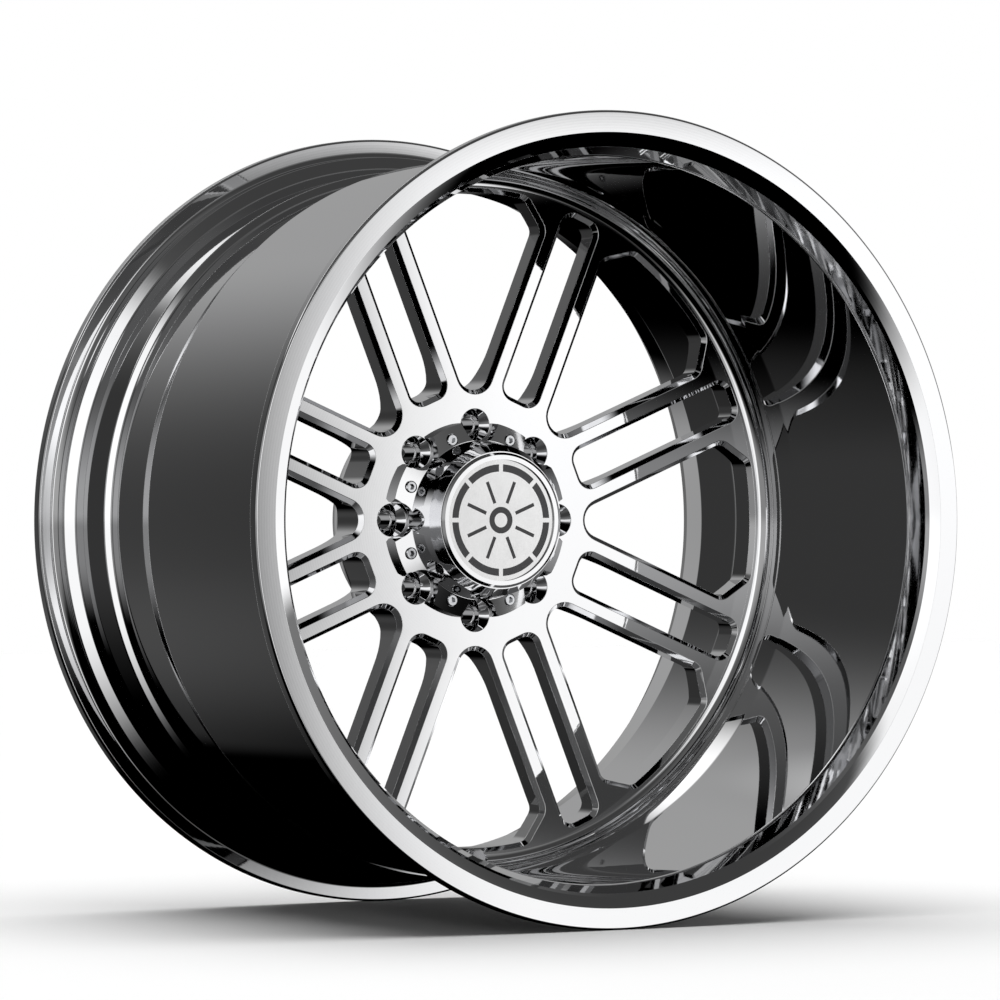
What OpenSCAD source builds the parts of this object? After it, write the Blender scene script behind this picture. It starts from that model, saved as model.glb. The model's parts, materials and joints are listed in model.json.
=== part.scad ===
// Forged deep-lip truck wheel with a bolted centre cap and a clamp-in tyre valve.
// Every piece is drawn about the wheel's own axis with its outer face towards +Z,
// then stand() lays that axis along Y: the face looks towards -Y and +Z is up.
// The origin is the centre of the hub mounting face.

/* [Rim] */
// Diameter of the tyre bead seats
bead_seat_d = 665.2; // [620:0.1:740]
// Width between the two flanges
rim_w = 406.4; // [370:0.1:450]
// Height of a flange above its bead seat
flange_h = 17.4; // [15:0.1:19]
// Thickness of a flange along the axis
flange_t = 11.55; // [9:0.05:13]
// Distance from the middle of the rim to the mounting face
offset_in = 101; // [90:0.5:115]
// Depth of the front drum below the bead seat
drum_drop = 12.6; // [11:0.1:14]
// Wall of the front drum
lip_wall = 8; // [7:0.5:9]
// Depth of the drop well below the front drum
well_drop = 10; // [7:0.5:11]
// Wall of the drop well
well_wall = 7; // [6:0.5:8]

/* [Disc and spokes] */
// Thickness of the hub from its mounting face to the outer face
hub_t = 65.75; // [60:0.05:72]
// Thickness of the spokes
spoke_t = 22; // [18:0.5:26]
// Width of each bar of a split spoke
bar_w = 18; // [15:0.5:20]
// Width of the slot between two bars
slot_w = 34; // [28:0.5:37]
// Radius at which the openings begin
open_in_r = 116.4; // [114:0.2:124]
// Web between the openings and the lip
open_web = 15.5; // [14:0.5:24]
// Edge break around the openings
edge_break = 4; // [2:0.5:5]
// Corner radius of the openings
corner_r = 10; // [8:0.5:11]
// Cut of a window's corner, measured along the spoke
corner_cut_side = 23; // [21:0.5:28]
// Cut of a window's corner, measured along the rim
corner_cut_rim = 27; // [24:0.5:31]
// Radius of the hollow between the spokes and the back of the hub
scoop_r = 46; // [38:1:50]
// Radius of the corner between the disc and the lip
lip_corner_r = 9.5; // [7:0.5:11]
// Radius of the corner between the spokes and the barrel at the back
back_corner_r = 24; // [18:1:26]

/* [Hub] */
// Diameter of the centre bore
hub_bore_d = 125.1; // [117:0.1:131]
// Diameter of the bolt circle
bolt_circle_d = 170; // [168:0.1:172]
// Diameter of the bolt holes
bolt_hole_d = 16.5; // [15:0.1:18]
// Diameter of the bore over each bolt hole
seat_bore_d = 18.5; // [18.2:0.1:21]
// Depth of that bore below the outer face
seat_bore_depth = 18; // [12:0.5:30]
// Diameter of the mouth of the 60 degree bolt seat
seat_mouth_d = 29.5; // [26:0.1:30]
// Diameter of the hub pad at the mounting face
pad_d = 218; // [214:1:222]

/* [Centre cap] */
// Diameter over the lobes of the cap flange
cap_flange_d = 176; // [172:0.5:182]
// Thickness of the cap flange
cap_flange_t = 12; // [10:0.5:14]
// Diameter of the circle of cap screws
cap_screw_circle_d = 154.2; // [153:0.2:157]
// Fall of the flange's face from the tower to its edge
cap_flange_fall = 3.6; // [2:0.2:5]
// Radius of the cut that clears a wheel socket
socket_clear_r = 16.2; // [15.2:0.1:16.6]
// Diameter of the tower where it leaves the flange
tower_base_d = 142; // [139:0.5:143]
// Diameter of the tower below its shoulder
tower_top_d = 134.6; // [131:0.2:137]
// Height of the tower above the flange
tower_h = 24.5; // [20:0.5:32]
// Height of the sloping shoulder
shoulder_h = 9.5; // [8:0.5:11]
// Diameter of the retaining ring
ring_d = 121; // [118:0.5:122]
// Width of the retaining ring's face
ring_face = 6.7; // [6.2:0.1:8]
// Thickness of the badge plate
badge_t = 3; // [2.4:0.2:3.6]

/* [Cap screws] */
// Diameter of the screw thread
screw_d = 6; // [5:0.5:6]
// Diameter of the screw head
screw_head_d = 10; // [9:0.5:10.5]
// Height of the screw head
screw_head_h = 6; // [5:0.5:6.5]
// Length of the screw below its head
screw_l = 22; // [18:1:26]

/* [Valve] */
// Lean of the valve away from the wheel's axis
valve_lean = 36; // [32:0.5:40]
// Diameter of the valve stem
stem_d = 7.7; // [7.3:0.1:8]
// Diameter of the valve hole
valve_hole_d = 11.3; // [10.8:0.1:12]
// Size across the flats of the valve nut
valve_nut_af = 17; // [16:0.5:18]
// Height of the valve nut
valve_nut_h = 4; // [3.5:0.5:6]
// Size across the flats of the valve cap
valve_cap_af = 16; // [14:0.5:16]
// Height of the valve cap
valve_cap_h = 5; // [5:0.5:9]
// Press of the valve pin
pin_travel = 1.2; // [0.8:0.1:1.4]

/* [Hidden] */
$fn = 96;
// overlap of cutters past the face they open
over = 1;
// running clearance between turned parts of cap and valve
fit_gap = 0.05;
// clearance round the cap screws in the flange
screw_gap = 0.25;
// room left round rubber parts and between threads
soft_gap = 0.1;
// number of split spokes, windows, bolt holes and cap screws
count = 8;
pitch = 360/count;
half = pitch/2;

// ---- places along the wheel's axis, measured outwards from the mounting face
lip_z = offset_in + rim_w/2 + flange_t;
back_z = offset_in - rim_w/2 - flange_t;
face_z = hub_t;
spoke_z = face_z - spoke_t;

// ---- radii of the rim
seat_r = bead_seat_d/2;
flange_r = seat_r + flange_h;
drum_r = seat_r - drum_drop;
drum_in_r = drum_r - lip_wall;
well_r = drum_r - well_drop;
well_in_r = well_r - well_wall;
// both seats taper 5 degrees over their width, then rise over a safety hump
seat_w = 13;
seat_fall = 1.14;
hump_w = 4;
hump_h = 1.6;
hump_slope = 15;
flange_root_r = 6.5;

// ---- the stepped inner side of the lip
lip_face_w = 18.7;
lip_step_a = 4.3;
lip_step_a_z = 1.5;
lip_step_b = 9.6;
lip_step_b_z = 3.5;
lip_step_c = 12.3;
lip_step_c_z = 6;
lip_flare_w = 22;
lip_foot_in = 3.5;
lip_foot_z = face_z + 12;
lip_bend_z = face_z + 42;

// ---- the drop well and the stepped back of the barrel
bevel_z = face_z - 10;
well_top_z = face_z - 40;
well_end_z = back_z + 77.5;
back_step = 7;
back_step_w = 2;
back_band_rise = 5;
back_band_end_z = back_z + flange_t + seat_w + 2*hump_w - 3;
back_flare_z = back_z + 32;
back_flare = 11.5;
back_mouth = 19;

// ---- the openings in the disc
bar_out = slot_w/2 + bar_w;
open_out_r = drum_in_r - lip_foot_in - open_web;
window_in_c = (open_in_r - bar_out)/(1 - sin(half));
window_in_r = window_in_c - open_in_r;
slot_in_y = open_in_r + 0.6;
slot_out_y = open_out_r - 0.5;

// ---- the window's right-hand side, as points in the plane of the face
side_dir = [sin(half), cos(half)];
side_nor = [cos(half), -sin(half)];
side_k = sqrt(open_out_r*open_out_r - bar_out*bar_out);
side_end = side_nor*(-bar_out) + side_dir*side_k;
side_end_ang = atan2(side_end[0], side_end[1]);
cut_a = side_end - side_dir*corner_cut_side;
cut_b_ang = side_end_ang - corner_cut_rim/open_out_r*180/PI;
cut_b = open_out_r*[sin(cut_b_ang), cos(cut_b_ang)];
cut_dir = (cut_b - cut_a)/norm(cut_b - cut_a);
cut_nor = [cut_dir[1], -cut_dir[0]];
// corner between the side and the cut
turn_a = acos(side_dir*cut_dir);
lead_a = corner_r*tan(turn_a/2);
side_stop = cut_a - side_dir*lead_a;
cut_start = cut_a + cut_dir*lead_a;
corner_a = side_stop - side_nor*corner_r;
// corner between the cut and the outer arc
cut_foot = cut_a*cut_nor;
corner_b_n = cut_foot - corner_r;
corner_b_t = sqrt(pow(open_out_r - corner_r, 2) - corner_b_n*corner_b_n);
corner_b = cut_nor*corner_b_n + cut_dir*corner_b_t;
cut_stop = corner_b + cut_nor*corner_r;
arc_start = corner_b*(open_out_r/norm(corner_b));
arc_ang = atan2(corner_b[0], corner_b[1]);
side_start = [0, window_in_c] + side_nor*window_in_r;

// ---- the centre cap
bolt_r = bolt_circle_d/2;
cap_screw_r = cap_screw_circle_d/2;
flange_front_z = face_z + cap_flange_t;
tower_z = flange_front_z + tower_h;
shoulder_z = tower_z + shoulder_h;
tower_wall = 3.3;
tower_hollow_r = tower_top_d/2 - tower_wall;
collar_r = tower_hollow_r + 2;
collar_h = 10;
shoulder_d = ring_d + 1;
badge_d = ring_d - 2*ring_face;
badge_ledge = 7.8;
ring_r = ring_d/2 - 0.5;
ring_front_z = shoulder_z + 2.5;
ring_groove = 0.4;
ring_chamfer = 1.1;
spigot_r = ring_r - 2.5;
badge_front_z = ring_front_z - 2;
badge_back_z = badge_front_z - badge_t;
badge_rim = 1.5;
badge_rim_t = badge_t/2 - 0.3;
badge_ledge_in = badge_d/2 - badge_ledge;
seal_d = 2;
recess_z = badge_back_z - seal_d - soft_gap;
inlay_sink = 1;
flare_c_r = 96;
flare_back_r = 17.5;
flange_land = 0.4;
flare_gap = 0.8;
flare_front_r = flare_c_r - tower_base_d/2 - flange_land - flare_gap;
head_hole_d = screw_head_d + 1;
head_seat_z = flange_front_z - screw_head_h;
head_edge = 0.6;
screw_end_z = head_seat_z - screw_l;
hex_af = 5;
hex_depth = 3;

// ---- the valve, about its own axis with its tip towards +Z from the spot face
valve_at_r = drum_in_r - 5.5;
valve_at_z = face_z - 1.5;
spot_d = 21;
grip = 19;
washer_d = 19.5;
washer_t = 1.2;
grommet_d = 15;
grommet_t = 2.4;
grommet_neck = 3;
nut_z = grommet_t/2 + washer_t;
stem_top = nut_z + valve_nut_h + 2.6;
head_d = 16;
head_t = 3;
core_bore_d = 5.3;
core_body_d = core_bore_d - 2*soft_gap;
core_body_l = 8;
core_drop = 1.3;
core_z = stem_top - core_drop - core_body_l;
core_top_z = stem_top - core_drop;
air_bore_r = 2;
pin_r = 0.5;
pin_hole_r = 1;
pin_collar_r = 1.45;
pin_collar_z = core_top_z - 1.2;
pin_collar_t = 0.6;
pin_top_z = stem_top - 0.3;
spring_room_r = 1.75;
spring_seat_z = core_z + 2.5;
spring_r = 1.1;
spring_wire = 0.4;
spring_coils = 6;
core_seal_r = 1.6;
core_seal_t = 1.4;
core_groove_z = core_z + 1.2;

// Lays the wheel's axis along Y with its face towards -Y
module stand() {
    rotate([90, 0, 0]) children();
}

// Repeats a feature at the windows and bolt holes, or at the slots between bars
module at_windows() {
    for (i = [0:count - 1]) rotate([0, 0, i*pitch]) children();
}
module at_slots() {
    for (i = [0:count - 1]) rotate([0, 0, (i + 0.5)*pitch]) children();
}

// Section of the whole forging: hub, disc, stepped lip, flanges, bead seats and drop well.
// A corner to be rounded is cut straight here; the circles then hollow it to its arc.
module forging_section() {
    f_in = lip_z - flange_t;
    b_in = back_z + flange_t;
    pad_r = pad_d/2;
    scoop_z = spoke_z - scoop_r;
    root_r = seat_r + flange_root_r;
    corner_in_r = drum_in_r - lip_foot_in;
    pad_foot = scoop_z <= 0 ? [[pad_r + 3, 0]] : [[pad_r, 0], [pad_r, scoop_z]];
    hub_and_back = concat([[0, 0]], pad_foot, [
        [pad_r + scoop_r, spoke_z],
        [well_in_r - back_corner_r, spoke_z],
        [well_in_r, spoke_z - back_corner_r],
        [well_in_r, well_end_z - 1],
        [well_in_r + back_flare, back_flare_z],
        [flange_r - back_mouth, back_z],
        [flange_r, back_z]
    ]);
    outside = [
        [flange_r, b_in],
        [root_r, b_in],
        [seat_r - 0.5, b_in + flange_root_r],
        [seat_r - seat_fall, b_in + seat_w],
        [seat_r - seat_fall + hump_h, b_in + seat_w + hump_w/2],
        [seat_r - seat_fall + hump_h, b_in + seat_w + hump_w],
        [well_r + back_step + back_band_rise, back_band_end_z],
        [well_r + back_step, well_end_z - back_step_w],
        [well_r, well_end_z],
        [well_r, well_top_z],
        [drum_r, bevel_z],
        [drum_r, f_in - seat_w - 1.5*hump_w - hump_slope],
        [seat_r - seat_fall + hump_h, f_in - seat_w - 1.5*hump_w],
        [seat_r - seat_fall + hump_h, f_in - seat_w - hump_w],
        [seat_r - seat_fall, f_in - seat_w],
        [seat_r - 0.5, f_in - flange_root_r],
        [root_r, f_in],
        [flange_r, f_in]
    ];
    front = [
        [flange_r, lip_z],
        [flange_r - lip_face_w, lip_z],
        [flange_r - lip_face_w - lip_step_a, lip_z - lip_step_a_z],
        [flange_r - lip_face_w - lip_step_b, lip_z - lip_step_b_z],
        [flange_r - lip_face_w - lip_step_c, lip_z - lip_step_c_z],
        [drum_in_r, lip_z - lip_flare_w],
        [drum_in_r, lip_bend_z],
        [corner_in_r, lip_foot_z],
        [corner_in_r, face_z + lip_corner_r],
        [corner_in_r - lip_corner_r, face_z],
        [0, face_z]
    ];
    difference() {
        polygon(concat(hub_and_back, outside, front));
        translate([pad_r + scoop_r, scoop_z]) circle(r = scoop_r);
        translate([well_in_r - back_corner_r, spoke_z - back_corner_r])
            circle(r = back_corner_r);
        translate([corner_in_r - lip_corner_r, face_z + lip_corner_r])
            circle(r = lip_corner_r);
        translate([root_r, f_in - flange_root_r]) circle(r = flange_root_r);
        translate([root_r, b_in + flange_root_r]) circle(r = flange_root_r);
    }
}

// Sloping edge along one straight side of an opening, from point a to point b
module edge_cut(a, b, h) {
    d = (b - a)/norm(b - a);
    translate([a[0], a[1], face_z])
        rotate([0, 0, atan2(d[1], d[0])])
            rotate([90, 0, 90])
                linear_extrude(height = norm(b - a))
                    polygon([[h, -edge_break - over], [over, -edge_break - over],
                             [-edge_break - over, over], [h, over]]);
}

// Sloping edge round one corner of an opening
module corner_cut(p, r) {
    translate([p[0], p[1], face_z - edge_break - over])
        cylinder(h = edge_break + 2*over, r1 = r - over, r2 = r + edge_break + over);
}

// Window between two split spokes, seen along the axis
module window_shape() {
    polygon([
        side_start, side_stop, cut_start, cut_stop, arc_start,
        [-arc_start[0], arc_start[1]], [-cut_stop[0], cut_stop[1]],
        [-cut_start[0], cut_start[1]], [-side_stop[0], side_stop[1]],
        [-side_start[0], side_start[1]]
    ]);
    translate([0, window_in_c]) circle(r = window_in_r);
    for (m = [-1, 1]) {
        translate([m*corner_a[0], corner_a[1]]) circle(r = corner_r);
        translate([m*corner_b[0], corner_b[1]]) circle(r = corner_r);
    }
    intersection() {
        circle(r = open_out_r);
        polygon([arc_start, 1.2*arc_start, [-1.2*arc_start[0], 1.2*arc_start[1]],
                 [-arc_start[0], arc_start[1]]]);
    }
}

// Window cut through the disc, with its sloping edge
module window_cut() {
    translate([0, 0, -over])
        linear_extrude(height = face_z + 2*over) window_shape();
    corner_cut([0, window_in_c], window_in_r);
    for (m = [0, 1]) mirror([m, 0, 0]) {
        edge_cut(side_stop, side_start, 3);
        edge_cut(cut_stop, cut_start, 3);
        corner_cut(corner_a, corner_r);
        corner_cut(corner_b, corner_r);
    }
    rotate([0, 0, 90 - arc_ang])
        rotate_extrude(angle = 2*arc_ang)
            polygon([[open_out_r - 3, face_z - edge_break - over],
                     [open_out_r - over, face_z - edge_break - over],
                     [open_out_r + edge_break + over, face_z + over],
                     [open_out_r - 3, face_z + over]]);
}

// Slot between the two bars of a spoke, with its sloping edge
module slot_cut() {
    hw = slot_w/2;
    y1 = slot_in_y + corner_r;
    y2 = slot_out_y - corner_r;
    x1 = hw - corner_r;
    translate([0, 0, -over]) linear_extrude(height = face_z + 2*over) {
        translate([-hw, y1]) square([slot_w, y2 - y1]);
        translate([-x1, slot_in_y]) square([2*x1, slot_out_y - slot_in_y]);
        for (m = [-1, 1]) {
            translate([m*x1, y1]) circle(r = corner_r);
            translate([m*x1, y2]) circle(r = corner_r);
        }
    }
    for (m = [0, 1]) mirror([m, 0, 0]) {
        edge_cut([hw, y2], [hw, y1], 3);
        corner_cut([x1, y1], corner_r);
        corner_cut([x1, y2], corner_r);
    }
    edge_cut([x1, slot_in_y], [-x1, slot_in_y], 3);
    edge_cut([-x1, slot_out_y], [x1, slot_out_y], 3);
}

// Bolt hole with its 60 degree seat
module bolt_hole() {
    cone_h = (seat_mouth_d - seat_bore_d)/2/tan(30);
    translate([0, bolt_r, 0]) {
        translate([0, 0, -over]) cylinder(h = face_z + 2*over, r = bolt_hole_d/2);
        translate([0, 0, face_z - seat_bore_depth])
            cylinder(h = seat_bore_depth + over, r = seat_bore_d/2);
        translate([0, 0, face_z - cone_h])
            cylinder(h = cone_h, r1 = seat_bore_d/2, r2 = seat_mouth_d/2);
    }
}

// Places a feature on the valve's own axis, at the bottom of the wheel
module at_valve() {
    translate([0, -valve_at_r, valve_at_z]) rotate([-valve_lean, 0, 0]) children();
}

module wheel_forging() {
    color("gainsboro") stand() difference() {
        rotate_extrude() forging_section();
        translate([0, 0, -over]) cylinder(h = face_z + 2*over, r = hub_bore_d/2);
        at_windows() window_cut();
        at_slots() slot_cut();
        at_windows() bolt_hole();
        at_slots() translate([0, cap_screw_r, screw_end_z - 2])
            cylinder(h = face_z - screw_end_z + 2 + over, r = screw_d/2 + fit_gap);
        at_valve() {
            translate([0, 0, -grip - 20]) cylinder(h = grip + 30, r = valve_hole_d/2);
            cylinder(h = 14, r = spot_d/2);
            translate([0, 0, -grip - 40]) cylinder(h = 40, r = spot_d/2 - 2);
        }
    }
}

// Room for a wheel socket over each bolt hole
module socket_room(z1, z2) {
    at_windows() translate([0, bolt_r, z1]) cylinder(h = z2 - z1, r = socket_clear_r);
}

module cap_flange() {
    color("silver") stand() difference() {
        union() {
            translate([0, 0, face_z])
                cylinder(h = cap_flange_t - cap_flange_fall, r = cap_flange_d/2);
            translate([0, 0, flange_front_z - cap_flange_fall])
                cylinder(h = cap_flange_fall, r1 = cap_flange_d/2,
                         r2 = tower_base_d/2 + flange_land);
            translate([0, 0, face_z]) cylinder(h = cap_flange_t + collar_h, r = collar_r);
        }
        translate([0, 0, face_z - over])
            cylinder(h = cap_flange_t + collar_h + 2*over, r = tower_hollow_r);
        socket_room(face_z - over, flange_front_z + over);
        at_windows() translate([0, flare_c_r, face_z])
            cylinder(h = cap_flange_t + over, r1 = flare_back_r, r2 = flare_front_r);
        at_slots() translate([0, cap_screw_r, face_z - over])
            cylinder(h = cap_flange_t + 2*over, r = screw_d/2 + screw_gap);
        at_slots() translate([0, cap_screw_r, head_seat_z])
            cylinder(h = screw_head_h + over, r = head_hole_d/2);
    }
}

module cap_flange_screws() {
    color("lightgray") stand() at_slots() translate([0, cap_screw_r, 0]) difference() {
        union() {
            translate([0, 0, head_seat_z])
                cylinder(h = screw_head_h - head_edge, r = screw_head_d/2);
            translate([0, 0, flange_front_z - head_edge])
                cylinder(h = head_edge, r1 = screw_head_d/2, r2 = screw_head_d/2 - head_edge);
            translate([0, 0, screw_end_z]) cylinder(h = screw_l + over, r = screw_d/2);
        }
        translate([0, 0, flange_front_z - hex_depth])
            cylinder(h = hex_depth + over, r = hex_af/2/cos(30), $fn = 6);
    }
}

module cap_tower() {
    color("silver") stand() difference() {
        union() {
            translate([0, 0, flange_front_z])
                cylinder(h = tower_h, r1 = tower_base_d/2, r2 = tower_top_d/2);
            translate([0, 0, tower_z])
                cylinder(h = shoulder_h, r1 = tower_top_d/2, r2 = shoulder_d/2);
        }
        translate([0, 0, flange_front_z - over])
            cylinder(h = collar_h + over + fit_gap, r = collar_r + fit_gap);
        translate([0, 0, flange_front_z - over])
            cylinder(h = tower_h + over - 3, r = tower_hollow_r);
        translate([0, 0, flange_front_z])
            cylinder(h = tower_h + shoulder_h + over, r = badge_ledge_in);
        translate([0, 0, recess_z])
            cylinder(h = shoulder_z - recess_z + over, r = spigot_r + fit_gap);
        socket_room(flange_front_z - over, tower_z);
    }
}

module cap_ring() {
    rim_top_z = badge_back_z + badge_rim_t;
    color("silver") stand() difference() {
        union() {
            translate([0, 0, recess_z + fit_gap])
                cylinder(h = shoulder_z - recess_z + over, r = spigot_r);
            translate([0, 0, shoulder_z + ring_groove])
                cylinder(h = ring_front_z - shoulder_z - ring_groove - ring_chamfer, r = ring_r);
            translate([0, 0, ring_front_z - ring_chamfer])
                cylinder(h = ring_chamfer, r1 = ring_r, r2 = ring_r - 2*ring_chamfer);
        }
        translate([0, 0, recess_z - over])
            cylinder(h = ring_front_z - recess_z + 2*over, r = badge_d/2 + soft_gap);
        translate([0, 0, recess_z - over])
            cylinder(h = rim_top_z - recess_z + over + fit_gap, r = badge_d/2 + badge_rim + soft_gap);
    }
}

// Ring of round section lying in a plane across the axis
module o_ring(r, d, z) {
    translate([0, 0, z]) rotate_extrude() translate([r, 0]) circle(d = d, $fn = 32);
}

module cap_ring_seal() {
    color("black") stand() o_ring(badge_d/2 - 3, seal_d, badge_back_z - seal_d/2 - soft_gap/2);
}

module badge_mark(d) {
    difference() {
        circle(r = d*0.46);
        circle(r = d*0.40);
        for (i = [0:count - 1]) rotate(i*pitch) translate([0, d*0.43]) square([4, d*0.1], center = true);
    }
    for (i = [0:count - 1]) rotate((i + 0.5)*pitch) translate([-1.6, d*0.15]) square([3.2, d*0.19]);
    difference() {
        circle(r = d*0.11);
        circle(r = d*0.06);
    }
}

module cap_badge_plate() {
    color("whitesmoke") stand() difference() {
        union() {
            translate([0, 0, badge_back_z]) cylinder(h = badge_t, r = badge_d/2);
            translate([0, 0, badge_back_z]) cylinder(h = badge_rim_t, r = badge_d/2 + badge_rim);
        }
        translate([0, 0, badge_front_z - inlay_sink])
            linear_extrude(height = inlay_sink + over) badge_mark(badge_d);
    }
}

module cap_badge_inlay() {
    color("dimgray") stand() translate([0, 0, badge_front_z - inlay_sink])
        linear_extrude(height = inlay_sink) badge_mark(badge_d);
}

module valve_stem() {
    color("silver") stand() at_valve() difference() {
        union() {
            translate([0, 0, -grip - grommet_t/2 - head_t]) cylinder(h = head_t, r = head_d/2);
            translate([0, 0, -grip - grommet_t/2 - over])
                cylinder(h = grip + grommet_t/2 + over + stem_top, r = stem_d/2);
        }
        translate([0, 0, core_z]) cylinder(h = core_body_l + core_drop + over, r = core_bore_d/2);
        translate([0, 0, -grip - grommet_t/2 - head_t - over])
            cylinder(h = grip + stem_top + head_t + 10, r = air_bore_r);
    }
}

// Rubber ring whose neck fills the valve hole
module grommet() {
    difference() {
        union() {
            cylinder(h = grommet_t/2, r = grommet_d/2);
            translate([0, 0, -grommet_neck]) cylinder(h = grommet_neck + 0.5, r = valve_hole_d/2 - fit_gap);
        }
        translate([0, 0, -grommet_neck - over])
            cylinder(h = grommet_neck + grommet_t + 2*over, r = stem_d/2 + fit_gap);
    }
}

module valve_outer_grommet() {
    color("black") stand() at_valve() grommet();
}

module valve_inner_grommet() {
    color("black") stand() at_valve() translate([0, 0, -grip]) rotate([180, 0, 0]) grommet();
}

module valve_washer() {
    color("silver") stand() at_valve() translate([0, 0, grommet_t/2]) difference() {
        cylinder(h = washer_t, r = washer_d/2);
        translate([0, 0, -over]) cylinder(h = washer_t + 2*over, r = stem_d/2 + screw_gap);
    }
}

module valve_nut() {
    color("silver") stand() at_valve() translate([0, 0, nut_z]) difference() {
        cylinder(h = valve_nut_h, r = valve_nut_af/2/cos(30), $fn = 6);
        translate([0, 0, -over]) cylinder(h = valve_nut_h + 2*over, r = stem_d/2 + fit_gap);
    }
}

module valve_core_body() {
    color("goldenrod") stand() at_valve() difference() {
        translate([0, 0, core_z]) cylinder(h = core_body_l, r = core_body_d/2);
        translate([0, 0, core_z - over]) cylinder(h = core_body_l + 2*over, r = pin_hole_r);
        translate([0, 0, spring_seat_z]) cylinder(h = core_body_l, r = spring_room_r);
        o_ring(core_body_d/2 - 0.2, 0.7, core_groove_z);
    }
}

module valve_core_gasket() {
    color("firebrick") stand() at_valve() o_ring(core_body_d/2 - 0.2, 0.6, core_groove_z);
}

module valve_core_pin() {
    color("gold") stand() at_valve() {
        translate([0, 0, core_z - core_seal_t - 0.5])
            cylinder(h = pin_top_z - core_z + core_seal_t + 0.5, r = pin_r);
        translate([0, 0, pin_collar_z]) cylinder(h = pin_collar_t, r = pin_collar_r);
    }
}

module valve_core_seal() {
    color("firebrick") stand() at_valve() translate([0, 0, core_z - core_seal_t]) difference() {
        cylinder(h = core_seal_t, r = core_seal_r);
        translate([0, 0, -over]) cylinder(h = core_seal_t + 2*over, r = pin_r + 0.02);
    }
}

module valve_core_spring() {
    low_z = spring_seat_z + spring_wire/2;
    step = (pin_collar_z - spring_seat_z - spring_wire)/(spring_coils - 1);
    color("silver") stand() at_valve()
        for (i = [0:spring_coils - 1]) o_ring(spring_r, spring_wire, low_z + i*step);
}

module valve_cap() {
    z0 = nut_z + valve_nut_h + 0.3;
    dome_h = 1.6;
    color("silver") stand() at_valve() difference() {
        intersection() {
            translate([0, 0, z0]) cylinder(h = valve_cap_h, r = valve_cap_af/2/cos(30), $fn = 6);
            union() {
                translate([0, 0, z0]) cylinder(h = valve_cap_h - dome_h, r = valve_cap_af);
                translate([0, 0, z0 + valve_cap_h - dome_h])
                    cylinder(h = dome_h, r1 = valve_cap_af/2/cos(30), r2 = valve_cap_af/2 - 2);
            }
        }
        translate([0, 0, z0 - over])
            cylinder(h = stem_top - z0 + over + 1, r = stem_d/2 + fit_gap);
    }
}

module valve_cap_gasket() {
    color("black") stand() at_valve() translate([0, 0, stem_top]) difference() {
        cylinder(h = 0.9, r = stem_d/2 - 0.1);
        translate([0, 0, -over]) cylinder(h = 4, r = core_bore_d/2);
    }
}

wheel_forging();
cap_flange();
cap_flange_screws();
cap_tower();
cap_ring();
cap_ring_seal();
cap_badge_plate();
cap_badge_inlay();
valve_stem();
valve_inner_grommet();
valve_outer_grommet();
valve_washer();
valve_nut();
valve_core_body();
valve_core_gasket();
valve_core_pin();
valve_core_seal();
valve_core_spring();
valve_cap();
valve_cap_gasket();
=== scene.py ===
# %% [markdown]
# # A forged deep-lip truck wheel
# This notebook dresses a finished CAD model of a one-piece forged truck wheel.
# The CAD part is loaded as a fixed frame. Its coordinates are metres: the wheel's
# axis runs along Y, the deep outer lip faces -Y, and +Z is up.

# %% Load the wheel
import bpy
import bmesh
import json
import math
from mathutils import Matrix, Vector
from mathutils.geometry import delaunay_2d_cdt


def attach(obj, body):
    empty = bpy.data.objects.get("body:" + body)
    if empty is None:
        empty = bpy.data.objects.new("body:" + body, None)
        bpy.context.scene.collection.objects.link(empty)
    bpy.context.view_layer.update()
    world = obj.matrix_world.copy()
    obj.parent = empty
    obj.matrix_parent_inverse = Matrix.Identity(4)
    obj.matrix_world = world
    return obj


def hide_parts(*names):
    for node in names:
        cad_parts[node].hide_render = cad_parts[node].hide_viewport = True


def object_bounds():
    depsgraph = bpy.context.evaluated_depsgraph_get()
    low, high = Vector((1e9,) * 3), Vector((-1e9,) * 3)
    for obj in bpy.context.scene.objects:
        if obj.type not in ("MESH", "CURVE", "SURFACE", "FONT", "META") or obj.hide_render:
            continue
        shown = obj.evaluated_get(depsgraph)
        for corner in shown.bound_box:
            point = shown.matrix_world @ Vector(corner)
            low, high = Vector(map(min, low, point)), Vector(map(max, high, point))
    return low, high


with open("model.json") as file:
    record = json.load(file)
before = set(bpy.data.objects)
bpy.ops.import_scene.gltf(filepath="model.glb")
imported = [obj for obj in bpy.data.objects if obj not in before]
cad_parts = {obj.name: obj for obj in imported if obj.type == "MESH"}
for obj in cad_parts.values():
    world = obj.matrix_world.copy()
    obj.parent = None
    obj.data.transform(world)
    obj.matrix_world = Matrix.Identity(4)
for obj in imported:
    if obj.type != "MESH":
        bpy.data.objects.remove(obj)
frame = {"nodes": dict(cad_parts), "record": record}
cad_box = [list(map(float, corner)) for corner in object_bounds()]
nodes = frame["nodes"]
print("wheel box", cad_box)

# %% [markdown]
# ## A small language for shader maths
# Cycles builds a finish from nodes. Writing them out one by one hides the idea, so a
# socket is wrapped in a class whose + - * make the Math nodes themselves.

# %% Shader helper
class Wire:
    """One output socket of a material, with Python's own operators."""

    def __init__(self, tree, socket):
        self.tree, self.socket = tree, socket

    def maths(self, operation, *others):
        return node(self.tree, "ShaderNodeMath", {"operation": operation}, [self, *others])

    def __add__(self, other):
        return self.maths("ADD", other)

    __radd__ = __add__

    def __mul__(self, other):
        return self.maths("MULTIPLY", other)

    __rmul__ = __mul__

    def __sub__(self, other):
        return self.maths("SUBTRACT", other)

    def __rsub__(self, other):
        return node(self.tree, "ShaderNodeMath", {"operation": "SUBTRACT"}, [other, self])


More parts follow.
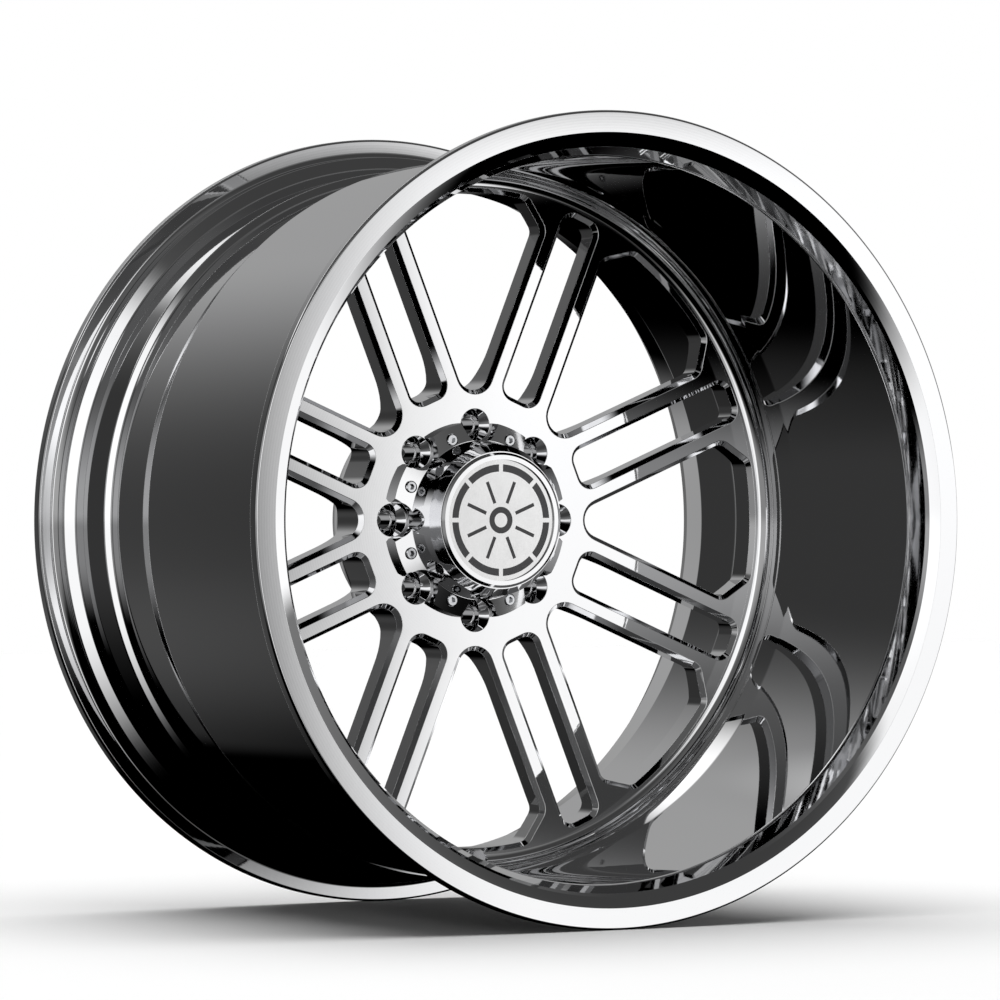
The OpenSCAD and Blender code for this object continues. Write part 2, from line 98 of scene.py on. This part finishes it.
def node(tree, kind, settings=None, inputs=None, out=0):
    """Adds one node: its settings first, then a value or a wire for each socket named."""
    made = tree.nodes.new(kind)
    for key, value in (settings or {}).items():
        if key == "stops":
            ramp = made.color_ramp
            while len(ramp.elements) < len(value):
                ramp.elements.new(0.5)
            for stop, (at, shade) in zip(ramp.elements, value):
                stop.position, stop.color = at, shade
        else:
            setattr(made, key, value)
    pairs = inputs.items() if isinstance(inputs, dict) else enumerate(inputs or [])
    for key, value in pairs:
        if isinstance(value, Wire):
            tree.links.new(value.socket, made.inputs[key])
        else:
            made.inputs[key].default_value = value
    return Wire(tree, made.outputs[out])


def new_finish(name, **sockets):
    """A material with its Principled shader set; returns the material, its tree and shader."""
    finish = bpy.data.materials.new(name)
    finish.use_nodes = True
    tree = finish.node_tree
    shader = tree.nodes["Principled BSDF"]
    for key, value in sockets.items():
        shader.inputs[key.replace("_", " ")].default_value = value
    return finish, tree, shader


print("shader helper ready")

# %% [markdown]
# ## Polished metal
# A show wheel is ground and buffed until it mirrors the room. A perfect mirror looks
# false, so the roughness drifts in soft clouds, as buffing leaves it. A very shallow
# bump carries the faint rings of the lathe, and the sharp edges, which hands and
# cloths rub most, are a little duller. Pointiness finds those edges.

# %% Polished aluminium
LATHE_RINGS = 2600.0


def edges_of(tree, low, high):
    """1 on the sharp outer edges of a mesh and 0 on its flat parts."""
    point = node(tree, "ShaderNodeNewGeometry", out=7)
    return node(tree, "ShaderNodeMapRange", {}, {0: point, 1: low, 2: high})


def polished_aluminium(name, shade, haze, turned_marks):
    """Buffed aluminium: soft clouds of haze, faint lathe rings and rubbed edges."""
    finish, tree, shader = new_finish(name, Metallic=1.0)
    spot = node(tree, "ShaderNodeTexCoord", out=3)
    cloud = node(tree, "ShaderNodeTexNoise", {}, {"Vector": spot, "Scale": 7.0, "Detail": 5.0})
    swirl = node(tree, "ShaderNodeTexNoise", {}, {"Vector": spot, "Scale": 160.0, "Detail": 2.0})
    rubbed = edges_of(tree, 0.53, 0.62)
    rough = haze + cloud * 0.022 + swirl * 0.008 + rubbed * 0.05
    tree.links.new(rough.socket, shader.inputs["Roughness"])
    tone = node(tree, "ShaderNodeMix", {"data_type": "RGBA"}, {
        0: cloud, 6: (shade, shade, shade, 1), 7: (shade * 0.975, shade * 0.98, shade, 1)}, out=2)
    tree.links.new(tone.socket, shader.inputs["Base Color"])
    away = [node(tree, "ShaderNodeSeparateXYZ", {}, [spot], out=k) for k in (0, 2)]
    radius = (away[0] * away[0] + away[1] * away[1]).maths("SQRT")
    rings = (radius * LATHE_RINGS).maths("SINE")
    height = rings * turned_marks + swirl
    bump = node(tree, "ShaderNodeBump", {}, {"Strength": 0.01, "Distance": 0.0002, "Height": height})
    tree.links.new(bump.socket, shader.inputs["Normal"])
    return finish


forged = polished_aluminium("polished_forging", 0.93, 0.006, 0.1)
billet = polished_aluminium("polished_billet", 0.94, 0.008, 0.08)
print("finishes", forged.name, billet.name)

# %% [markdown]
# ## The small parts
# Screws, seals, valve and badge each have their own stuff: bright plating, rubber with
# a matt skin, turned brass, satin silver under lacquer. They share one recipe, a base
# colour that drifts a little, a grain that moves the roughness, and worn edges, with
# numbers for each stuff. Giving them by material slot dresses every CAD piece at once.

# %% Finishes for the small parts
def small_part(name, colour, metallic, roughness, scale, lacquer=0.0):
    """One small part's finish: drifting colour, grain in the roughness, rubbed edges."""
    finish, tree, shader = new_finish(name, Metallic=metallic, Coat_Weight=lacquer, Coat_Roughness=0.03)
    spot = node(tree, "ShaderNodeTexCoord", out=3)
    grain = node(tree, "ShaderNodeTexNoise", {}, {"Vector": spot, "Scale": scale, "Detail": 3.0})
    cloud = node(tree, "ShaderNodeTexNoise", {}, {"Vector": spot, "Scale": 60.0, "Detail": 3.0})
    darker = [c * 0.86 for c in colour]
    tone = node(tree, "ShaderNodeMix", {"data_type": "RGBA"}, {
        0: cloud, 6: (*colour, 1), 7: (*darker, 1)}, out=2)
    tree.links.new(tone.socket, shader.inputs["Base Color"])
    rough = roughness + grain * 0.06 + edges_of(tree, 0.55, 0.7) * 0.08
    tree.links.new(rough.socket, shader.inputs["Roughness"])
    bump = node(tree, "ShaderNodeBump", {}, {"Strength": 0.03, "Distance": 0.0003, "Height": grain})
    tree.links.new(bump.socket, shader.inputs["Normal"])
    return finish


finishes = {
    "polished_aluminium": forged,
    "cap_aluminium": billet,
    "screw_steel": small_part("plated_screws", (0.8, 0.81, 0.83), 1.0, 0.07, 900.0),
    "seal_rubber": small_part("seal_rubber_black", (0.022, 0.022, 0.023), 0.0, 0.5, 1500.0),
    "badge_silver": small_part("badge_silver", (0.96, 0.96, 0.96), 1.0, 0.1, 700.0, 0.3),
    "badge_ink": small_part("badge_dark", (0.05, 0.05, 0.054), 0.0, 0.2, 300.0, 0.5),
    "plated_brass": small_part("chrome_plate", (0.88, 0.88, 0.9), 1.0, 0.02, 700.0),
    "core_brass": small_part("turned_brass", (0.72, 0.5, 0.22), 1.0, 0.16, 900.0),
    "core_seal": small_part("red_seal", (0.3, 0.03, 0.02), 0.0, 0.5, 900.0),
    "spring_steel": small_part("spring_wire", (0.55, 0.55, 0.57), 1.0, 0.22, 900.0),
}
for part in frame["record"]["subparts"]:
    thing = nodes[part["node"]]
    thing.data.materials.clear()
    thing.data.materials.append(finishes[part["material_slot"]])
print("dressed", len(nodes), "nodes in", len(finishes), "finishes")

# %% [markdown]
# ## The forging, as one clean mesh
# A forged wheel is turned on a lathe and then milled. The mesh is made the same way:
# a turned outline for hub, lip, flanges and barrel, and milled openings whose walls are
# lofted between rings. Polished metal shows every normal, so the turned and the milled
# parts share their rings of points. Only the small valve hole is cut by a boolean.

# %% Main sizes of the forging, in millimetres from the hub face
FACE, SPOKE_BACK = 65.75, 43.75
LIP_FRONT, BACK_FRONT = 315.75, -113.75
FLANGE_R, SEAT_R, DRUM_R, WELL_R = 350.0, 332.6, 320.0, 310.0
LIP_R, LIP_FOOT_R, WELL_IN_R = 312.0, 308.5, 303.0
BORE_R, PAD_R = 62.55, 109.06
OPEN_OUT, OPEN_IN = 293.0, 116.4
DISC_EDGE_R = 299.0
TURNS = 360
# the round corner between the disc's back and the barrel, and the hollow round the hub pad
CORNER_R, CORNER_Z, CORNER = 279.0, 19.75, 24.0
HOLLOW_R, HOLLOW_Z, HOLLOW = 155.0, -2.25, 46.0


def place(x, y, z):
    """Turns a point measured on the wheel (z towards the lip) into the scene's metres."""
    return (x / 1000, -z / 1000, y / 1000)


def round_corners(points):
    """A polyline of (r, z, radius): each corner with a radius is replaced by its arc."""
    out = []
    for i, (r, z, radius) in enumerate(points):
        if radius == 0 or i in (0, len(points) - 1):
            out.append((r, z))
            continue
        here = Vector((r, z))
        back = (Vector(points[i - 1][:2]) - here).normalized()
        on = (Vector(points[i + 1][:2]) - here).normalized()
        half = back.angle(on) / 2
        lead = radius / math.tan(half)
        middle = here + (back + on).normalized() * (radius / math.sin(half))
        start, end = here + back * lead - middle, here + on * lead - middle
        turn = math.atan2(start.cross(end), start.dot(end))
        steps = max(2, int(abs(turn) / math.radians(11)) + 1, int(abs(turn) * radius / 4) + 1)
        for k in range(steps + 1):
            a = turn * k / steps
            c, s = math.cos(a), math.sin(a)
            out.append((middle.x + start.x * c - start.y * s, middle.y + start.x * s + start.y * c))
    return out


print("turned in", TURNS, "steps")

# %% [markdown]
# ## The turned outline
# One half-section describes everything the lathe makes: the foot of the lip with its two
# low ledges, the straight inner wall, the stepped front edge, the flanges, the tyre's bead
# seats with their humps, the drop in the barrel and its inner wall. It could be cut from
# separate cylinders and cones, but one line with rounded corners leaves no seam to shade.

# %% The turned outline, from the disc out round the lip and back inside the barrel
outline = round_corners([
    (DISC_EDGE_R, FACE, 0),
    (LIP_FOOT_R, FACE, 9.4),
    (LIP_FOOT_R, FACE + 11, 0.5),
    (LIP_FOOT_R + 0.9, FACE + 11.6, 0.5),
    (LIP_FOOT_R + 1.2, FACE + 22, 0.5),
    (LIP_FOOT_R + 2.1, FACE + 22.6, 0.5),
    (LIP_R, FACE + 46, 60),
    (LIP_R, LIP_FRONT - 22, 14),
    (319.0, LIP_FRONT - 6, 0.4),
    (321.7, LIP_FRONT - 3.5, 0.4),
    (327.0, LIP_FRONT - 1.5, 0.4),
    (331.3, LIP_FRONT, 0.6),
    (FLANGE_R, LIP_FRONT, 2.2),
    (FLANGE_R, 304.2, 2.2),
    (SEAT_R, 304.2, 6.5),
    (331.46, 291.2, 3),
    (333.06, 287.2, 2),
    (333.06, 285.2, 3),
    (DRUM_R, 270.2, 8),
    (DRUM_R, FACE - 10, 6),
    (WELL_R, FACE - 40, 6),
    (WELL_R, -36.25, 2),
    (317.0, -38.25, 1.5),
    (322.0, -84.2, 2),
    (333.06, -87.2, 1.5),
    (333.06, -89.2, 2),
    (331.46, -93.2, 3),
    (SEAT_R, -102.2, 6.5),
    (FLANGE_R, -102.2, 2.2),
    (FLANGE_R, BACK_FRONT, 2.2),
    (331.0, BACK_FRONT, 1.5),
    (314.5, -81.75, 8),
    (WELL_IN_R, -37.25, 8),
    (WELL_IN_R, CORNER_Z, 0),
])
outline += [(CORNER_R + CORNER * math.cos(a), CORNER_Z + CORNER * math.sin(a))
            for a in (math.radians(6 * k) for k in range(1, 9))]
shell = bmesh.new()


def ring_at(mesh, r, z, turns=TURNS):
    """A closed ring of points round the axis, at one radius and height."""
    return [mesh.verts.new(place(r * math.sin(a), r * math.cos(a), z))
            for a in (2 * math.pi * k / turns for k in range(turns))]


def turned(mesh, profile, turns=TURNS):
    """Sweeps a profile of (r, z) once round the axis."""
    rings = [ring_at(mesh, r, z, turns) for r, z in profile]
    skin(mesh, rings)
    return rings


def skin(mesh, rings):
    """Joins neighbouring closed rings of equal length with quads."""
    for low, high in zip(rings, rings[1:]):
        count = len(low)
        for k in range(count):
            n = (k + 1) % count
            mesh.faces.new((low[k], low[n], high[n], high[k]))


turned(shell, outline)
print("outline points", len(outline))

# %% [markdown]
# ## Windows and slots
# Each opening is a chain of arcs. Growing every arc's radius by the same amount gives an
# even offset, so the sloping edge and its soft corners are rings of the same chain.

# %% Outlines of the openings
HALF = math.radians(22.5)
BAR_OUT = 35.0
SIDE = Vector((math.sin(HALF), math.cos(HALF)))
SIDE_OUT = Vector((math.cos(HALF), -math.sin(HALF)))


def window_arcs():
    """Arcs of a window as (centre, radius, first and last angle), anticlockwise."""
    low = (OPEN_IN - BAR_OUT) / (1 - math.sin(HALF))
    end = SIDE_OUT * -BAR_OUT + SIDE * math.sqrt(OPEN_OUT ** 2 - BAR_OUT ** 2)
    cut_a = end - SIDE * 23
    at = math.atan2(end.x, end.y) - 27 / OPEN_OUT
    cut_b = Vector((math.sin(at), math.cos(at))) * OPEN_OUT
    along = (cut_b - cut_a).normalized()
    out = Vector((along.y, -along.x))
    lead = 10 * math.tan(SIDE.angle(along) / 2)
    first = cut_a - SIDE * lead - SIDE_OUT * 10
    depth = cut_a.dot(out) - 10
    second = out * depth + along * math.sqrt((OPEN_OUT - 10) ** 2 - depth ** 2)
    a1, a2, a3 = -HALF, math.atan2(out.y, out.x), math.atan2(second.y, second.x)
    right = [(first, 10.0, a1, a2), (second, 10.0, a2, a3)]
    left = [(Vector((-c.x, c.y)), r, math.pi - b, math.pi - a) for c, r, a, b in reversed(right)]
    inner = (Vector((0, low)), low - OPEN_IN, HALF - math.pi, -HALF)
    outer = (Vector((0, 0)), OPEN_OUT, a3, math.pi - a3)
    return [inner, *right, outer, *left]


def slot_arcs():
    quarter = math.pi / 2
    spots = [(7, 127, -1), (7, 282.5, 0), (-7, 282.5, 1), (-7, 127, 2)]
    return [(Vector((x, y)), 10.0, q * quarter, (q + 1) * quarter) for x, y, q in spots]


def loop_of(arcs, grow, turn):
    """Points of an opening's outline, grown outwards and turned clockwise round the wheel."""
    points = []
    c, s = math.cos(turn), math.sin(turn)
    for centre, radius, a, b in arcs:
        steps = max(8, int(radius * (b - a) / 3))
        for k in range(steps + 1):
            t = a + (b - a) * k / steps
            x = centre.x + (radius + grow) * math.cos(t)
            y = centre.y + (radius + grow) * math.sin(t)
            points.append((x * c + y * s, y * c - x * s))
    # long straight runs are divided so that the walls can follow the hollow behind the spokes
    full = []
    for p, q in zip(points, points[1:] + points[:1]):
        full.append(p)
        span = math.dist(p, q)
        for k in range(1, int(span / 6.0)):
            full.append((p[0] + (q[0] - p[0]) * k / int(span / 6.0),
                         p[1] + (q[1] - p[1]) * k / int(span / 6.0)))
    return full


openings = [(arcs, math.radians(45 * i + lag)) for i in range(8)
            for arcs, lag in ((window_arcs(), 0), (slot_arcs(), 22.5))]
print("openings", len(openings))

# %% [markdown]
# ## The milled walls
# A cutter leaves each opening a sloping edge at the front, a straight wall, and a line at
# the back where the wall runs out through the disc's curved rear face. The slope and the
# wall are rings at fixed heights. The last ring follows the height of the rear face.

# %% Walls of the openings
def back_height(r):
    """Height of the forging's back at radius r: pad, hollow, flat spokes, rounded corner."""
    if r <= PAD_R:
        return 0.0
    if r < HOLLOW_R:
        return HOLLOW_Z + math.sqrt(HOLLOW ** 2 - (HOLLOW_R - r) ** 2)
    if r < CORNER_R:
        return SPOKE_BACK
    return CORNER_Z + math.sqrt(max(0.0, CORNER ** 2 - (min(r, WELL_IN_R) - CORNER_R) ** 2))


edge = round_corners([(7, FACE, 0), (4, FACE, 0.7), (0, FACE - 4, 0.7), (0, FACE - 8, 0)])[1:-1]
foot = [(0.0, 0.0), (0.8, 0.0)]
front_loops, back_loops = [], []
for arcs, turn in openings:
    rings = []
    for grow, z in edge:
        rings.append([shell.verts.new(place(x, y, z)) for x, y in loop_of(arcs, grow, turn)])
    for grow, lift in foot:
        spots = loop_of(arcs, grow, turn)
        rings.append([shell.verts.new(place(x, y, back_height(math.hypot(x, y)) + lift))
                      for x, y in spots])
    skin(shell, rings)
    front_loops.append(rings[0])
    back_loops.append(rings[-1])
print("ring steps", len(edge) + len(foot), "points in one window", len(front_loops[0]))

# %% [markdown]
# ## Bolt holes and bore
# Eight holes on one circle carry the studs. Each has a cone seat for its nut, a short
# straight counterbore and the stud's own hole. They are small turned shapes like the bore,
# with the first and last points of each line there only to aim its rounded corners.

# %% Bolt holes and centre bore
BOLT_CIRCLE_R, CONE_R, COUNTERBORE_R, STUD_HOLE_R = 85, 14.75, 9.25, 8.25
CONE_DEPTH, COUNTERBORE_DEPTH = 9.53, 18
HOLE_STEPS, BORE_STEPS = 96, 192
hole_profile = round_corners([
    (CONE_R + 3.25, FACE, 0),
    (CONE_R, FACE, 0.5),
    (COUNTERBORE_R, FACE - CONE_DEPTH, 0.6),
    (COUNTERBORE_R, FACE - COUNTERBORE_DEPTH, 0.3),
    (STUD_HOLE_R, FACE - COUNTERBORE_DEPTH, 0.3),
    (STUD_HOLE_R, 0, 0.8),
    (STUD_HOLE_R + 1.75, 0, 0),
])[1:-1]
hole_tops, hole_feet = [], []
for i in range(8):
    turn = math.radians(45 * i)
    cx, cy = BOLT_CIRCLE_R * math.sin(turn), BOLT_CIRCLE_R * math.cos(turn)
    rings = [[shell.verts.new(place(cx + r * math.cos(a), cy + r * math.sin(a), z))
              for a in (2 * math.pi * k / HOLE_STEPS for k in range(HOLE_STEPS))]
             for r, z in hole_profile]
    skin(shell, rings)
    hole_tops.append(rings[0])
    hole_feet.append(rings[-1])
bore_profile = round_corners([(66, FACE, 0), (BORE_R, FACE, 1), (BORE_R, 0, 1), (66, 0, 0)])[1:-1]
bore = turned(shell, bore_profile, BORE_STEPS)
print("bolt holes", len(hole_tops))

# %% [markdown]
# ## Filling the flat faces
# The front of the disc is one plane with many holes, and the back is a shallow landscape.
# A Delaunay triangulation fills the space between all the rings at once, and extra points
# on circles let the back follow its hollows.

# %% Fill front and back
def wheel_xy(vert):
    return Vector((vert.co.x * 1000, vert.co.z * 1000))


def fill(mesh, loops, extra=(), height=None):
    """Triangulates between closed rings of existing points; extra points get a height."""
    verts = [v for loop in loops for v in loop]
    owner = [i for i, loop in enumerate(loops) for _ in loop] + [0] * len(extra)
    edges, at = [], 0
    for loop in loops:
        edges += [(at + k, at + (k + 1) % len(loop)) for k in range(len(loop))]
        at += len(loop)
    flat = [wheel_xy(v) for v in verts] + [Vector(p) for p in extra]
    verts += [mesh.verts.new(place(x, y, height(math.hypot(x, y)))) for x, y in extra]
    _, _, faces, origin, _, _ = delaunay_2d_cdt(flat, edges, [], 0, 1e-4)
    made = 0
    for face in faces:
        corners = [origin[k][0] for k in face]
        # every hole is convex, so a triangle with all its corners on one hole lies inside it
        if owner[corners[0]] and len({owner[k] for k in corners}) == 1:
            continue
        mesh.faces.new([verts[k] for k in corners])
        made += 1
    return made


front = fill(shell, [ring_at(shell, DISC_EDGE_R, FACE), bore[0], *front_loops, *hole_tops])
# the steepest stretches behind the disc are turned rings, and only the gentle rest is filled
hollow = [(PAD_R, 0.0)] + [(HOLLOW_R - HOLLOW * math.cos(a), HOLLOW_Z + HOLLOW * math.sin(a))
                           for a in (math.radians(6 * k) for k in range(1, 6))]
turned(shell, hollow)
pad = fill(shell, [ring_at(shell, PAD_R, 0.0), bore[-1], *hole_feet])


def clear_of_openings(x, y):
    """True if a point lies outside every opening and the margin round it."""
    for polygon in polygons:
        inside = False
        for (x1, y1), (x2, y2) in zip(polygon, polygon[1:] + polygon[:1]):
            if (y1 > y) != (y2 > y) and x < (x2 - x1) * (y - y1) / (y2 - y1) + x1:
                inside = not inside
        if inside:
            return False
    return True


OPENING_MARGIN = 2.6
polygons = [loop_of(arcs, OPENING_MARGIN, turn) for arcs, turn in openings]
radii = [HOLLOW_R - HOLLOW * math.cos(math.radians(a)) for a in range(36, 91, 6)]
radii += [CORNER_R + CORNER * math.cos(math.radians(a)) for a in range(54, 91, 6)]
extra = []
for r in radii:
    for k in range(TURNS):
        a = 2 * math.pi * k / TURNS
        x, y = r * math.sin(a), r * math.cos(a)
        if clear_of_openings(x, y):
            extra.append((x, y))
back_rings = [ring_at(shell, *outline[-1]), ring_at(shell, *hollow[-1])]
back = fill(shell, [*back_rings, *back_loops], extra, back_height)
print("front", front, "pad", pad, "back", back)

# %% [markdown]
# ## Closing the mesh
# The rings that two steps share are merged, so the forging becomes one closed skin. Edges
# sharper than a set angle stay crisp and all others are shaded smooth, with normals
# weighted by face size so that the wide flat faces stay flat in the polish.

# %% Close the forging
SHARP_ANGLE = math.radians(28)
bmesh.ops.remove_doubles(shell, verts=shell.verts, dist=2e-5)
bmesh.ops.recalc_face_normals(shell, faces=shell.faces)
open_edges = sum(1 for e in shell.edges if len(e.link_faces) != 2)
mesh = bpy.data.meshes.new("forging")
shell.to_mesh(mesh)
shell.free()
for face in mesh.polygons:
    face.use_smooth = True
mesh.set_sharp_from_angle(angle=SHARP_ANGLE)
forging = bpy.data.objects.new("forging", mesh)
bpy.context.collection.objects.link(forging)
weighted = forging.modifiers.new("even_normals", "WEIGHTED_NORMAL")
weighted.keep_sharp = True
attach(forging, "wheel")
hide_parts("wheel_forging")
forging.data.materials.append(forged)
print("forging", len(mesh.vertices), "points,", open_edges, "open edges")

# %% [markdown]
# ## The valve's hole
# The valve leans out of the corner between disc and lip, so its hole crosses curved
# metal at a slant. A drill and two spot-facing cutters make it on the real wheel, and
# here one turned cutter, with the same three diameters, is taken away from the mesh.

# %% Drill the valve hole
VALVE_SEAT = Vector((0.0, -0.06425, -0.3065))
VALVE_AXIS = Vector((0.0, -0.809017, 0.587785))
cutter_profile = [(8.5, -45.0), (8.5, -19.0), (5.65, -19.0), (5.65, 0.0), (10.5, 0.0), (10.5, 14.0)]
drill = bmesh.new()
upright = VALVE_AXIS.to_track_quat("Z", "Y")
rings = []
for r, t in cutter_profile:
    spots = [Vector((r * math.cos(a), r * math.sin(a), t)) / 1000
             for a in (2 * math.pi * k / 64 for k in range(64))]
    rings.append([drill.verts.new(VALVE_SEAT + upright @ spot) for spot in spots])
skin(drill, rings)
drill.faces.new(rings[0])
drill.faces.new(rings[-1])
bmesh.ops.recalc_face_normals(drill, faces=drill.faces)
drill_mesh = bpy.data.meshes.new("valve_drill")
drill.to_mesh(drill_mesh)
drill.free()
drill_tool = bpy.data.objects.new("valve_drill", drill_mesh)
bpy.context.collection.objects.link(drill_tool)
bored = forging.modifiers.new("valve_hole", "BOOLEAN")
bored.operation, bored.solver, bored.object = "DIFFERENCE", "EXACT", drill_tool
forging.modifiers.move(1, 0)
scene_now = bpy.context.evaluated_depsgraph_get()
forging.modifiers["even_normals"].show_viewport = False
scene_now.update()
drilled = bpy.data.meshes.new_from_object(forging.evaluated_get(scene_now))
forging.modifiers["even_normals"].show_viewport = True
forging.modifiers.remove(bored)
forging.data = drilled
drilled.set_sharp_from_angle(angle=SHARP_ANGLE)
bpy.data.objects.remove(drill_tool)
print("drilled", len(drilled.vertices), "points")

# %% [markdown]
# ## Floor and studio
# A mirror finish has no look of its own: what shows is the room. The room is a gradient
# made from directions only, with a dim wall behind, a grey wall ahead at the left, two
# large soft boxes ahead and a strip of light high at the back. The camera itself sees
# plain white in its place, and a wide soft sun lights the pale floor.

# %% Floor and studio
FLOOR_HALF = 9
floor_z = cad_box[0][2]
mesh = bpy.data.meshes.new("studio_floor")
corners = [(-1, -1), (1, -1), (1, 1), (-1, 1)]
mesh.from_pydata([(x * FLOOR_HALF, y * FLOOR_HALF, floor_z) for x, y in corners], [], [(0, 1, 2, 3)])
floor = bpy.data.objects.new("studio_floor", mesh)
bpy.context.collection.objects.link(floor)
paper, _, _ = new_finish("studio_paper", Base_Color=(0.9, 0.9, 0.9, 1), Roughness=0.9)
floor.data.materials.append(paper)
world = bpy.data.worlds.new("studio")
bpy.context.scene.world = world
world.use_nodes = True
sky = world.node_tree


def rise(wire, low, high):
    """0 below low, 1 above high, with a soft change between."""
    smooth = {"interpolation_type": "SMOOTHSTEP"}
    return node(sky, "ShaderNodeMapRange", smooth, {0: wire, 1: low, 2: high})


toward = node(sky, "ShaderNodeTexCoord", out=0)
split = [node(sky, "ShaderNodeSeparateXYZ", {}, [toward], out=k) for k in range(3)]
side, depth, height = split
ahead = rise(depth * -1.0, -0.15, 0.15)
low = rise(height * -1.0 + 0.35 * rise(side, -0.1, 0.2), 0.15, 0.5)
strip = rise(height, 0.53, 0.62) * (1 - rise(height, 0.66, 0.74)) * (1 - rise(side, 0.1, 0.3))
back_wall = (0.035 + 0.31 * rise(side, -0.5, 0.05)) * (1 - low)
behind = back_wall * (1 - 0.6 * rise(height, 0.5, 0.7)) + 1.1 * strip
softbox = rise(side, 0.435, 0.505) * (1 - rise(height, 0.062, 0.1))
level_ahead = rise(height, -0.4, -0.3) * (1 - rise(height, 0.3, 0.4))
second_box = rise(side, -0.24, -0.14) * (1 - rise(side, 0.12, 0.24)) * level_ahead
left_wall = (0.24 + 0.14 * rise(height, -0.03, 0.03)) * (1 - 0.5 * rise(side, -0.3, 0.1))
before = left_wall * (1 - 0.75 * rise(height, 0.1, 0.5)) + 0.9 * softbox + 0.85 * second_box
level = behind * (1 - ahead) + before * (1 - rise(height * -1.0, 0.15, 0.4)) * ahead
room = sky.nodes["Background"]
room.inputs[0].default_value = (1, 1, 1, 1)
sky.links.new(level.socket, room.inputs[1])
paper_white = node(sky, "ShaderNodeBackground", {}, {0: (1, 1, 1, 1), 1: 1.0})
seen = node(sky, "ShaderNodeLightPath", out=0)
both = node(sky, "ShaderNodeMixShader", {}, [seen, Wire(sky, room.outputs[0]), paper_white])
sky.links.new(both.socket, sky.nodes["World Output"].inputs[0])
floor.visible_glossy = False
overhead = bpy.data.lights.new("overhead", "SUN")
overhead.energy, overhead.angle = 3.2, math.radians(70)
lamp = bpy.data.objects.new("overhead", overhead)
bpy.context.collection.objects.link(lamp)
lamp.visible_glossy = False
print("floor at", round(floor_z, 4))

# %% [markdown]
# ## Camera
# The camera stands low and to the left of the deep lip, level with the wheel's axis, and a
# long lens keeps the two rims nearly the same size.

# %% Camera
LIP_FACE_Y = -LIP_FRONT / 1000
CAMERA_AHEAD = 3.9965
camera = bpy.data.cameras.new("camera")
camera.lens, camera.sensor_width = 197.0, 36.0
eye = bpy.data.objects.new("camera", camera)
bpy.context.collection.objects.link(eye)
eye.location = (-2.420, LIP_FACE_Y - CAMERA_AHEAD, -0.0033)
eye.rotation_euler = (math.radians(90.25), 0, math.radians(-29.94))
bpy.context.scene.camera = eye
bpy.context.scene.view_settings.view_transform = "Standard"
